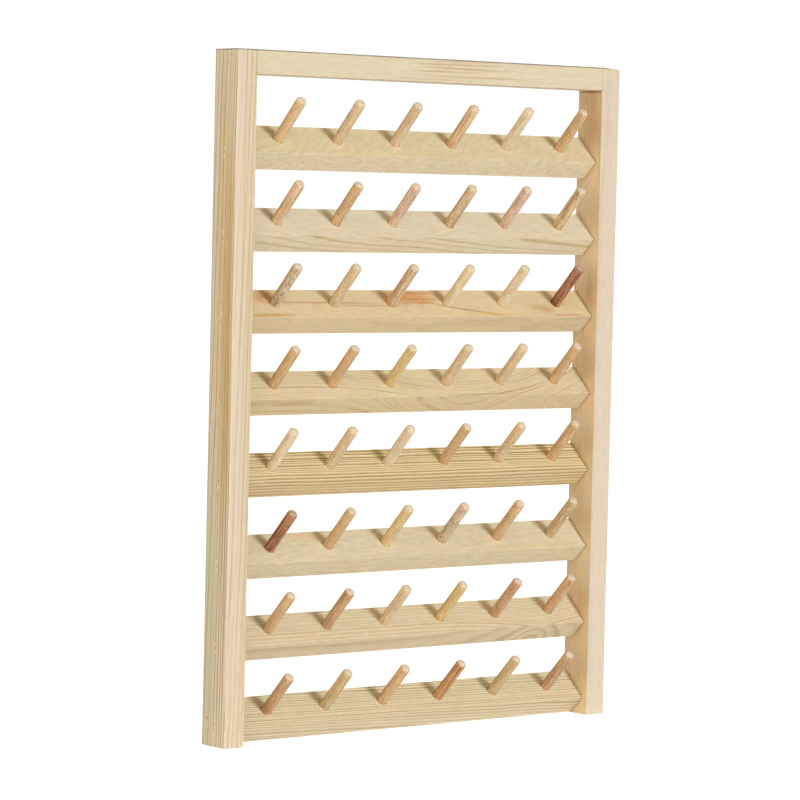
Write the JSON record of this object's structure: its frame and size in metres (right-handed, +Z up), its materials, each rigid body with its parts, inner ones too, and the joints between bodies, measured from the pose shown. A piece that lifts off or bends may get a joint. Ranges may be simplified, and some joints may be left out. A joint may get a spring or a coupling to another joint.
{
  "type": "thread rack",
  "caption": "Pine wall rack for thread spools: two stiles and a top rail hold sloping bars with rows of slanted dowel pegs, and two D-ring hangers on the back.",
  "frame": {"origin": "on the surface the stiles stand on, under the middle of the whole object's box, which runs from the peg tips to the hangers' eyes", "axes": "+Z up along the stiles; +X to the right seen from the front; the pegs point towards -Y and up, and the wall is on the +Y side"},
  "size_m": [0.29, 0.038, 0.4],
  "materials": {
    "stile_pine": "bare planed pine, fine upright grain, slightly eased edges",
    "rail_pine": "bare planed pine, faint level grain",
    "bar_pine": "bare planed pine, flat-sawn arches on some bars and close brown growth lines on others",
    "peg_birch": "bare hardwood dowel, orange tan, a few pegs darker and streaked, paler end grain",
    "brad_steel": "bright drawn wire",
    "putty": "dull wood filler, cream to light brown, sanded flush",
    "hanger_brass_plate": "brass-plated steel, satin",
    "screw_brass_plate": "brass-plated steel, satin"
  },
  "bodies": {
    "rack": {"left_stile": "stile_pine", "right_stile": "stile_pine", "top_rail": "rail_pine", "peg_bar_1": "bar_pine", "peg_bar_2": "bar_pine", "peg_bar_3": "bar_pine", "peg_bar_4": "bar_pine", "peg_bar_5": "bar_pine", "peg_bar_6": "bar_pine", "peg_bar_7": "bar_pine", "peg_bar_8": "bar_pine", "row_1_pegs": "peg_birch", "row_2_pegs": "peg_birch", "row_3_pegs": "peg_birch", "row_4_pegs": "peg_birch", "row_5_pegs": "peg_birch", "row_6_pegs": "peg_birch", "row_7_pegs": "peg_birch", "row_8_pegs": "peg_birch", "left_nails": "brad_steel", "right_nails": "brad_steel", "left_nail_filler": "putty", "right_nail_filler": "putty", "left_hanger_plate": "hanger_brass_plate", "right_hanger_plate": "hanger_brass_plate", "left_hanger_screw": "screw_brass_plate", "right_hanger_screw": "screw_brass_plate"},
    "left_ring": {"left_hanger_ring": "hanger_brass_plate"},
    "right_ring": {"right_hanger_ring": "hanger_brass_plate"}
  },
  "joints": [
    {"name": "left_ring_swing", "type": "hinge", "parent": "rack", "child": "left_ring", "pos_m": [-0.138, 0.0174, 0.38], "axis": [1, 0, 0], "range_deg": [0, 180]},
    {"name": "right_ring_swing", "type": "hinge", "parent": "rack", "child": "right_ring", "pos_m": [0.138, 0.0174, 0.38], "axis": [1, 0, 0], "range_deg": [0, 180]}
  ]
}
